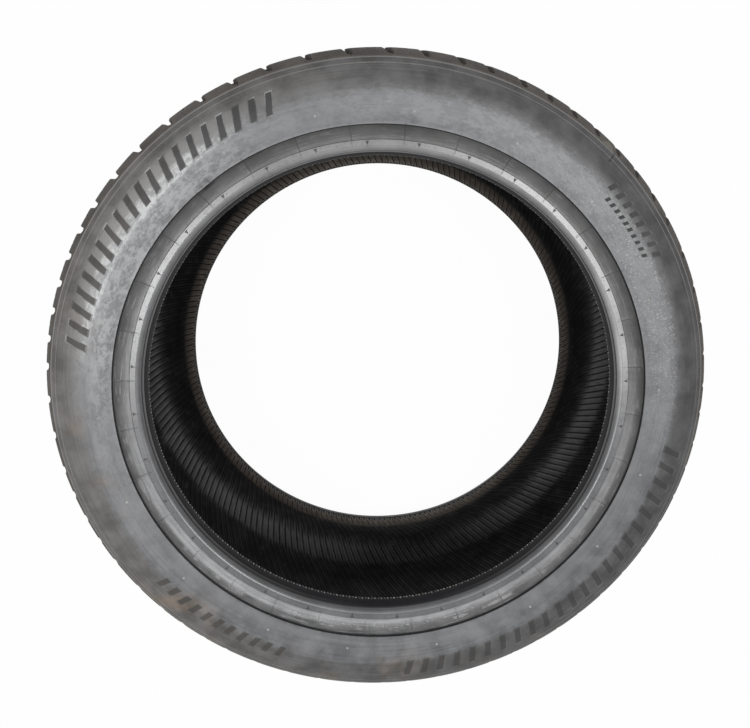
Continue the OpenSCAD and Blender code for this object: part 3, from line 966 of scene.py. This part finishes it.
def sidewall_rubber(effects):
    """Dark rubber, dusty on one half, with a grey haze and pale rubbed clouds inside."""
    r = Rubber("sidewall_rubber", effects, 0.35)
    b = r.bench
    clouds = r.scuffs(0.8, 9.0)
    ragged_r = b.math("ADD", r.place["Radius"], b.product(clouds["Ragged"], ZONE_RAGGED))

    def zone(name):
        """1 in one of the rubbed zones above."""
        low, high, soft, middle, reach = ZONES[name]
        return b.product(r.band(ragged_r, low, high, soft), r.around(middle, reach))

    def clouded(low, high):
        """The clouds, from low to high."""
        return b.ramp(clouds["Cloud"], 0.0, 1.0, low, high)

    stained = b.product(b.ramp(r.grain["Stain"], 0.48, 0.64), r.sector("stained side"),
                        r.ring("brown stains"))
    between = b.product(zone("between the bars"), 0.9)
    rubbed = b.product(b.most(zone("right"), zone("left"), between), clouded(0.5, 1.05))
    chalky = b.most(b.product(b.ramp(zone("chalk between the bars"), 0.0, 0.5), clouded(0.3, 0.95)),
                    b.product(b.ramp(zone("chalk inside the bars"), 0.0, 0.8), clouded(0.0, 0.34)))
    strokes = b.product(clouds["Strokes"], rubbed)
    # pale specks on the right side: partly specks in the rubber and partly painted glints of a
    # broad highlight
    specks = b.product(r.grain["Specks"], r.ring("pale specks"), r.sector("speckled side"))
    outer_rubbing = b.product(r.streaks(3.0, 0.5, 0.5), r.ring("outer rubbing"))
    # painted highlight along the raised mould lines
    mould_lines = b.most(r.ring("first mould line"), b.product(r.ring("second mould line"), 0.4))

    colour = b.mix(r.sector("warm side"), DARK_RUBBER, WARM_RUBBER)
    colour = r.lay(colour, r.ring("grey haze"), 0.85, GREY_HAZE)
    colour = r.lay(colour, r.streaks(2.2, 0.35, 0.7), 0.25, DARK_STREAK)
    colour = r.lay(colour, stained, 0.75, BROWN_STAIN)
    colour = r.tone(colour, 0.72, 1.28)
    for mask, most, over in (
            (rubbed, 0.85, RUBBED), (chalky, 1.0, CHALKY), (strokes, 0.6, SCRATCHED),
            (zone("outside the bars"), 0.7, OUTER_HAZE), (specks, 0.6, SPECK_AND_GLINT),
            (outer_rubbing, 0.4, OUTER_RUBBED),
            (b.product(r.grain["Dust"], r.mottled(0.4, 0.6)), 0.4, DUST),
            (mould_lines, 0.35, MOULD_LINE_HIGHLIGHT),
            (b.product(r.sector("mould joint"), r.ring("mould joint")), 0.85, BLACK_JOINT)):
        colour = r.lay(colour, mask, most, over)
    rough = b.math("ADD", r.mottled(0.3, 0.7, 0.4, 0.54), b.product(rubbed, 0.12))
    relief = b.math("ADD", r.grain["Grain"], b.product(b.math("ADD", strokes, specks), 0.5))
    return r.finish(colour, rough, relief, SKIN)


def flange_rubber(effects):
    """Smooth dark rubber with a painted shadow under the protector's edge and pale scratches along
    it, paler on the lower half from painted light and wear, with a painted highlight at its foot.
    """
    r = Rubber("flange_rubber", effects, 0.1)
    b = r.bench
    # paler lower half: partly painted light, as that side faces the lamps, and partly its denser
    # wear
    lit_and_worn_side = r.sector("pale flange")
    # painted highlight along the flange's foot on the lower half, and rubbing on its middle band at
    # the lower left; both go into rubbed
    foot = b.product(r.ring("flange foot"), r.sector("pale flange foot"))
    middle = b.product(r.ring("flange middle"), r.sector("pale flange middle"))
    rubbed = b.product(b.most(b.product(foot, 0.72), b.product(middle, 0.5)),
                       r.mottled(0.35, 0.6, 0.7, 1.0))
    scratches = b.product(b.most(r.streaks(14.0, 2.6, 0.52), r.streaks(5.0, 1.2, 0.46)),
                          b.math("ADD", 0.3, lit_and_worn_side))
    dark_streaks = b.product(r.streaks(9.0, 1.9, 0.6), lit_and_worn_side)
    nicks = b.product(r.grain["Specks"], r.sector("nicked flange"), r.ring("flange nicks"))
    torn = b.product(r.sector("torn edge"), r.ring("torn edge"))

    colour = r.tone(b.mix(lit_and_worn_side, FLANGE_DARK, FLANGE_LIT_AND_WORN_GREY), 0.82, 1.2)
    for mask, most, over in (
            (rubbed, 1.0, FLANGE_HIGHLIGHT_AND_RUB), (scratches, 0.55, FLANGE_SCRATCHED),
            (dark_streaks, 0.45, FLANGE_STREAK), (nicks, 0.5, PALE_NICK),
            # painted shadow: near black just under the protector's edge, where its lip shades the
            # flange
            (r.ring("protector edge"), 0.92, UNDERCUT_SHADOW), (torn, 0.8, TORN)):
        colour = r.lay(colour, mask, most, over)
    rough = b.math("ADD", 0.34, b.product(scratches, 0.25))
    return r.finish(colour, rough, b.math("ADD", r.grain["Grain"], scratches), SCRATCHES_DEEP)


def bead_rubber(effects):
    """Smoother, glossier rubber, polished where the rim clamps it, with a painted highlight on its
    flat band round the top, specks of dirt on that band, and painted shade in its fine groove.
    """
    r = Rubber("bead_rubber", effects, 0.3)
    b = r.bench
    rubs = r.streaks(16.0, 1.6, 0.36)
    dirt = b.product(r.grain["Specks"], r.ring("bead dirt"))
    foot = b.most(r.ring("bead foot"), b.product(r.ring("bead line"), 0.45))
    dull = b.product(b.most(dirt, rubs), 0.4)
    polish = b.math("SUBTRACT", r.ring("bead polish"), dull, clamp=True)

    # painted highlight: the flat bead band paler round the top and brightest at the upper right,
    # where it mirrors the lamps
    colour = b.mix(r.sector("pale bead"), BEAD_GREY, BEAD_SHEEN)
    colour = r.tone(r.lay(colour, r.sector("bright bead"), 0.9, BEAD_HIGHLIGHT), 0.86, 1.14)
    for mask, most, over in ((rubs, 0.4, BEAD_RUBBED), (dirt, 0.35, BEAD_DIRT),
                             # painted shade: black in the fine groove between the flange and the
                             # bead
                             (r.ring("bead groove"), 0.85, GROOVE_SHADE), (foot, 0.9, DARK_FOOT)):
        colour = r.lay(colour, mask, most, over)
    r.shader.inputs["Coat Roughness"].default_value = 0.26
    b.feed(r.shader.inputs["Coat Weight"], b.product(polish, 0.8))
    rough = b.math("ADD", 0.36, b.product(rubs, 0.2))
    return r.finish(colour, rough, b.math("ADD", r.grain["Grain"], rubs), POLISHED)


def seat_rubber(effects):
    """Dark rubber of the bead seat, with a paler rib beside the fine groove."""
    r = Rubber("seat_rubber", effects, 0.1)
    b = r.bench
    away_from_bottom = b.math("SUBTRACT", 1.0, r.sector("black seat"))
    colour = r.lay(r.tone(SEAT_BLACK), b.product(r.ring("seat"), away_from_bottom), 0.6, SEAT_GREY)
    colour = r.lay(colour, b.product(r.ring("seat rib"), away_from_bottom), 0.8, SEAT_RIB)
    r.shader.inputs["Specular IOR Level"].default_value = 0.2
    return r.finish(colour, 0.55, r.grain["Grain"], FINE_SKIN)


def liner_rubber(effects):
    """Near-black liner: painted shade in the valleys and in the fine groove along each dull grey
    ridge top, painted light on the ridge tops round the bottom, a pale tip at the near toe, and a
    ring of brown dust on the far bead."""
    r = Rubber("liner_rubber", effects, 0.12)
    b = r.bench
    ridge_top = b.put("Attribute", attribute_name=RIDGE_MARK).outputs["Fac"]
    lit = b.product(r.sector("lit liner"), b.ramp(ridge_top, 0.2, 0.8))
    steady_streaks = b.ramp(r.streaks(20.0, 0.1, 0.65), 0.0, 1.0, 0.65, 1.0)
    far_dust = b.product(r.ring("far bead height"), r.ring("far bead radius"),
                         b.ramp(ridge_top, 0.3, 0.8), steady_streaks)
    tips = b.product(r.ring("toe height"), r.ring("toe radius"), b.ramp(ridge_top, 0.82, 0.88),
                     r.mottled(0.35, 0.6, 0.5, 1.0))

    # painted shade: the valleys between the ridges far darker than the ridge tops
    colour = b.mix(b.ramp(ridge_top, 0.0, 0.7), LINER_VALLEY_SHADE, r.tone(LINER_RIDGE, 0.6, 1.4))
    colour = b.mix(lit, colour, r.tone(LINER_LIT, 0.6, 1.4))
    for mask, most, over in (
            # painted shade in the fine groove along each ridge top
            (b.ramp(ridge_top, 0.87, 1.0), 0.85, LINER_GROOVE_SHADE),
            (b.product(r.streaks(26.0, 0.07, 0.5), ridge_top), 0.5, LINER_RUBBED),
            (far_dust, 0.85, FAR_DUST), (tips, 1.0, LINER_TIP)):
        colour = r.lay(colour, mask, most, over)
    return r.finish(colour, 0.52, r.grain["Grain"], FINE_SKIN)


def tread_rubber(effects):
    """Brown-grey worn tread, paler on its edges, with painted shade down in the cuts."""
    r = Rubber("tread_rubber", effects, 0.3)
    b = r.bench
    pointed = b.put("NewGeometry").outputs["Pointiness"]
    colour = r.tone(TREAD_BROWN, 0.75, 1.25)
    for mask, most, over in (
            (r.streaks(4.0, 0.35, 0.4), 0.3, TREAD_RUBBED),
            (b.ramp(pointed, 0.53, 0.6), 0.5, TREAD_EDGE),
            # painted shade in the hollows of the cuts, where the pointiness is low
            (b.ramp(pointed, 0.4, 0.48, 1.0, 0.0), 0.6, TREAD_CUT_SHADE),
            (r.grain["Dust"], 0.3, TREAD_DUST)):
        colour = r.lay(colour, mask, most, over)
    return r.finish(colour, 0.66, r.grain["Grain"], ROUGH_TREAD)


def bar_face_rubber(effects):
    """Dark, evenly ribbed faces of the plain bars, warmer on the dusty half."""
    r = Rubber("bar_face_rubber", effects, 0.1)
    base = r.bench.mix(r.sector("warm bars"), BAR_COOL, BAR_WARM)
    return r.finish(r.tone(base), 0.5, r.grain["Grain"], SKIN)


def bar_edge_rubber(effects):
    """Raised rims of the plain bars, rubbed pale at the upper left."""
    r = Rubber("bar_edge_rubber", effects, 0.3)
    b = r.bench
    rubbed = b.math("ADD", b.product(r.sector("rubbed bars"), 0.8), 0.15)
    colour = b.mix(b.product(rubbed, r.mottled(0.4, 0.6)), BAR_EDGE, BAR_RUBBED)
    return r.finish(r.tone(colour), 0.5, r.grain["Grain"], SKIN)


def vent_rubber(effects):
    """Pale vent marks."""
    r = Rubber("vent_rubber", effects, 0.3)
    return r.finish(r.tone(VENT_GREY), 0.5, r.grain["Grain"], SKIN)


# ---- floor, light and camera

FLOOR_HALF, FLOOR_WHITE, WORLD_LIGHT = 6.0, 0.9, 0.35
LAMP_SIZE, LAMP_POWER = 0.55, 12.8
LEFT_LAMP, RIGHT_LAMP = (-0.74, -0.06, 1.8), (0.64, 0.10, 1.8)

# The camera: place and target in metres, roll in degrees, lens in mm, shift of the frame
CAMERA_PLACE, CAMERA_TARGET, CAMERA_ROLL = (0, 0.2149, 0.8078), (0.0281, 0.0431, 0), 3.91
CAMERA_LENS, CAMERA_SHIFT = 32.25, (-0.0352, -0.0408)


def white_stage():
    """A pale floor that the camera sees as white, apart from the soft shadow on it."""
    material = bpy.data.materials.new("studio_white")
    material.use_nodes = True
    b = Bench(material.node_tree)
    shader = b.tree.nodes["Principled BSDF"]
    shader.inputs["Base Color"].default_value = (*(FLOOR_WHITE,) * 3, 1)
    shader.inputs["Roughness"].default_value = 1.0
    shader.inputs["Specular IOR Level"].default_value = 0.0
    glow, mix = b.put("Emission"), b.put("MixShader")
    glow.inputs["Color"].default_value = (1, 1, 1, 1)
    seen = b.math("MULTIPLY", b.put("LightPath").outputs["Is Camera Ray"], 0.97)
    for socket, value in zip(mix.inputs, (seen, shader.outputs[0], glow.outputs[0])):
        b.feed(socket, value)
    b.feed(b.tree.nodes["Material Output"].inputs["Surface"], mix.outputs[0])
    mesh = bpy.data.meshes.new("floor")
    corners = [(x * FLOOR_HALF, y * FLOOR_HALF, FLOOR_Z)
               for x, y in ((-1, -1), (1, -1), (1, 1), (-1, 1))]
    mesh.from_pydata(corners, [], [(0, 1, 2, 3)])
    mesh.materials.append(material)
    floor = bpy.data.objects.new("floor", mesh)
    bpy.context.scene.collection.objects.link(floor)


def white_world(strength):
    """Even light of the given strength, which the camera sees as white."""
    world = bpy.data.worlds.new("studio")
    bpy.context.scene.world = world
    world.use_nodes = True
    b = Bench(world.node_tree)
    ambient, seen, mix = b.tree.nodes["Background"], b.put("Background"), b.put("MixShader")
    ambient.inputs["Color"].default_value = seen.inputs["Color"].default_value = (1, 1, 1, 1)
    ambient.inputs["Strength"].default_value = strength
    camera_ray = b.put("LightPath").outputs["Is Camera Ray"]
    for socket, value in zip(mix.inputs, (camera_ray, ambient.outputs[0], seen.outputs[0])):
        b.feed(socket, value)
    b.feed(b.tree.nodes["World Output"].inputs["Surface"], mix.outputs[0])


def soft_light(name, place, size, power):
    """A square lamp that faces the tyre's centre."""
    light = bpy.data.lights.new(name, "AREA")
    light.shape, light.size, light.energy = "SQUARE", size, power
    lamp = bpy.data.objects.new(name, light)
    lamp.location = place
    lamp.rotation_euler = (-Vector(place)).to_track_quat("-Z", "Y").to_euler()
    bpy.context.scene.collection.objects.link(lamp)


def photo_camera():
    """The camera at the photograph's place, with its roll and off-centre framing."""
    place = Vector(CAMERA_PLACE)
    forward = (Vector(CAMERA_TARGET) - place).normalized()
    right = forward.cross(Vector((0, 1, 0))).normalized()
    up = right.cross(forward)
    roll = math.radians(CAMERA_ROLL)
    side = math.cos(roll) * right - math.sin(roll) * up
    top = math.sin(roll) * right + math.cos(roll) * up
    turned = Matrix((side, top, -forward)).transposed().to_4x4()
    data = bpy.data.cameras.new("photo_camera")
    data.sensor_fit, data.sensor_width = "HORIZONTAL", 36.0
    data.lens = CAMERA_LENS
    data.shift_x, data.shift_y = CAMERA_SHIFT
    data.clip_start, data.clip_end = 0.01, 50
    camera = bpy.data.objects.new("photo_camera", data)
    camera.matrix_world = Matrix.Translation(place) @ turned
    bpy.context.scene.collection.objects.link(camera)
    bpy.context.scene.camera = camera


bpy.context.scene.view_settings.view_transform = "Standard"
photo_camera()
white_stage()
white_world(WORLD_LIGHT)
soft_light("soft_box_left", LEFT_LAMP, LAMP_SIZE, LAMP_POWER)
soft_light("soft_box_right", RIGHT_LAMP, LAMP_SIZE, LAMP_POWER)

effects = {tree.name: tree for tree in (tyre_place(), round_band(), worn_sector(),
                                        cloudy_scuffs(), ring_streaks(), rubber_grain())}
wall = [sidewall_rubber(effects), flange_rubber(effects), bead_rubber(effects),
        seat_rubber(effects)]
bars = [bar_face_rubber(effects), bar_edge_rubber(effects)]
vents = [vent_rubber(effects)] * 2

tread_piece(tread_rubber(effects))
liner_piece(liner_rubber(effects))
for where, side in (("near", 1), ("far", -1)):
    sidewall_piece("sidewall_" + where, side, wall)
    gather("plain_bars_" + where, bar_plates(), side, bars)
    gather("vent_marks_" + where, vent_plates(), side, vents)
    gather("bead_arrows_" + where, arrow_plates(), side, bars[:1] * 2)
